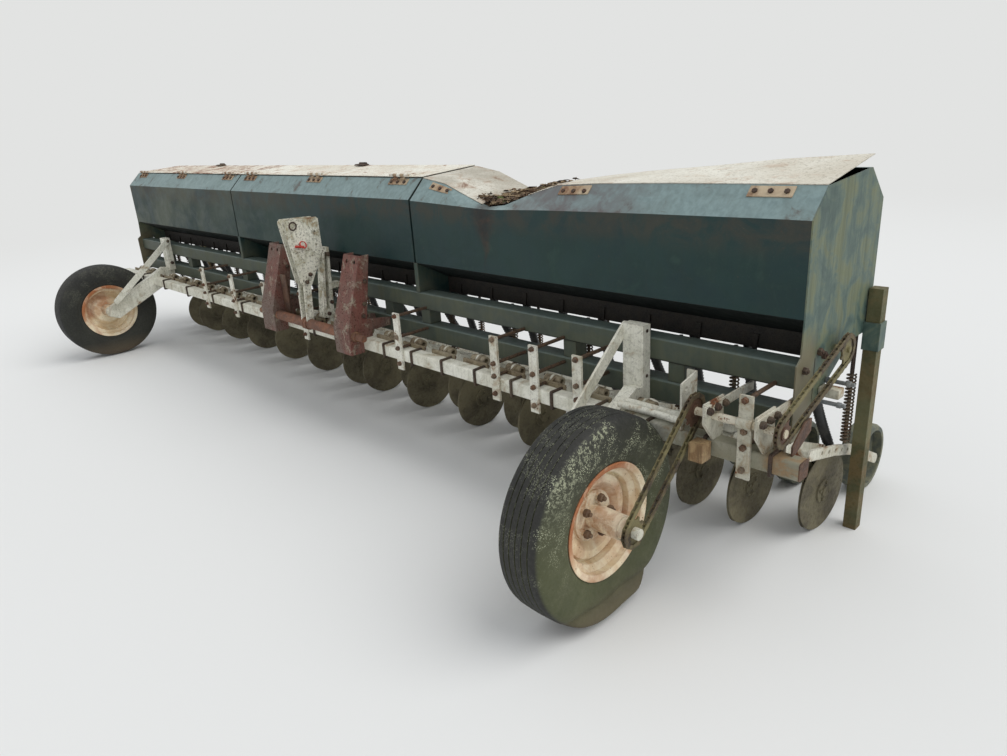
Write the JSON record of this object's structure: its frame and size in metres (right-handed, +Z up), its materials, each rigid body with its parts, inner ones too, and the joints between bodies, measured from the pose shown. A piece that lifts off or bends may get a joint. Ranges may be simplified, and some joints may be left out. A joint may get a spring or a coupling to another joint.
{
  "type": "mounted grain drill",
  "caption": "Long mounted grain drill: sectioned seed hopper, tool bar with centre hitch, ground wheels, double-disc openers and press wheels.",
  "frame": {"origin": "on the ground below the middle of the machine's outline", "axes": "+X along the machine towards the end with the drive, -Y towards the hitch, +Z up"},
  "size_m": [6.3, 1.989, 1.4862],
  "materials": {
    "green": "weathered, stained",
    "green_algae": "weathered, with algae",
    "cream": "weathered white paint",
    "lid_paint": "weathered cream paint",
    "red_rust": "faded red paint, rust",
    "rust": "rusted",
    "dark_steel": "rusted, oily",
    "casting": "dirty paint on castings",
    "tyre": "weathered rubber",
    "rim": "rusted orange and cream paint",
    "hose": "black rubber",
    "press_rubber": "muddy rubber",
    "stand_paint": "brown and mossy"
  },
  "bodies": {
    "frame": {"tool_bar": "cream", "bar_caps": "rust", "lower_tube": "green", "upper_tube": "green", "tube_posts": "green", "rear_tube_bar": "green", "end_panels": "green_algae", "hangers": "green", "hopper_far": "green", "hopper_mid": "green", "hopper_near": "green", "lid_near_left": "lid_paint", "lid_near_right": "lid_paint", "lid_hinges": "rust", "feed_cups": "casting", "feed_shaft": "dark_steel", "spring_shelf": "green", "springs": "dark_steel", "spring_rods": "dark_steel", "pivot_brackets": "casting", "u_bolts": "dark_steel", "bar_straps": "cream", "opener_arms": "cream", "opener_discs": "dark_steel", "press_arms": "cream", "press_wheels": "press_rubber", "seed_hoses": "hose", "hitch_posts": "red_rust", "cross_shaft": "red_rust", "hitch_mast": "cream", "mast_stay": "cream", "wheel_arm_near": "cream", "wheel_brace_near": "cream", "wheel_arm_far": "cream", "wheel_brace_far": "cream", "drive_stand": "cream", "jackshaft": "cream", "lower_chain": "rust", "upper_chain": "rust", "chain_guard": "rust", "stand_sleeves": "green_algae"},
    "wheel_near": {"tyre_near": "tyre", "rim_near": "rim", "hub_near": "rust"},
    "wheel_far": {"tyre_far": "tyre", "rim_far": "rim", "hub_far": "rust"},
    "lid_far": {"lid_far": "lid_paint"},
    "lid_mid": {"lid_mid": "lid_paint"},
    "stand_near": {"stand_near": "stand_paint"},
    "stand_far": {"stand_far": "stand_paint"}
  },
  "joints": [
    {"name": "wheel_near_spin", "type": "hinge", "parent": "frame", "child": "wheel_near", "pos_m": [2.592, -0.62048, 0.37404], "axis": [1, 0, 0], "continuous": true},
    {"name": "wheel_far_spin", "type": "hinge", "parent": "frame", "child": "wheel_far", "pos_m": [-2.592, -0.62048, 0.37404], "axis": [1, 0, 0], "continuous": true},
    {"name": "lid_far_hinge", "type": "hinge", "parent": "frame", "child": "lid_far", "pos_m": [0, 0.01149, 1.43197], "axis": [1, 0, 0], "range_deg": [0, 105]},
    {"name": "lid_mid_hinge", "type": "hinge", "parent": "frame", "child": "lid_mid", "pos_m": [0, 0.01149, 1.43197], "axis": [1, 0, 0], "range_deg": [0, 105]},
    {"name": "stand_near_slide", "type": "slide", "parent": "frame", "child": "stand_near", "axis": [0, 0, 1], "range_m": [0, 0.4]},
    {"name": "stand_far_slide", "type": "slide", "parent": "frame", "child": "stand_far", "axis": [0, 0, 1], "range_m": [0, 0.4]}
  ]
}
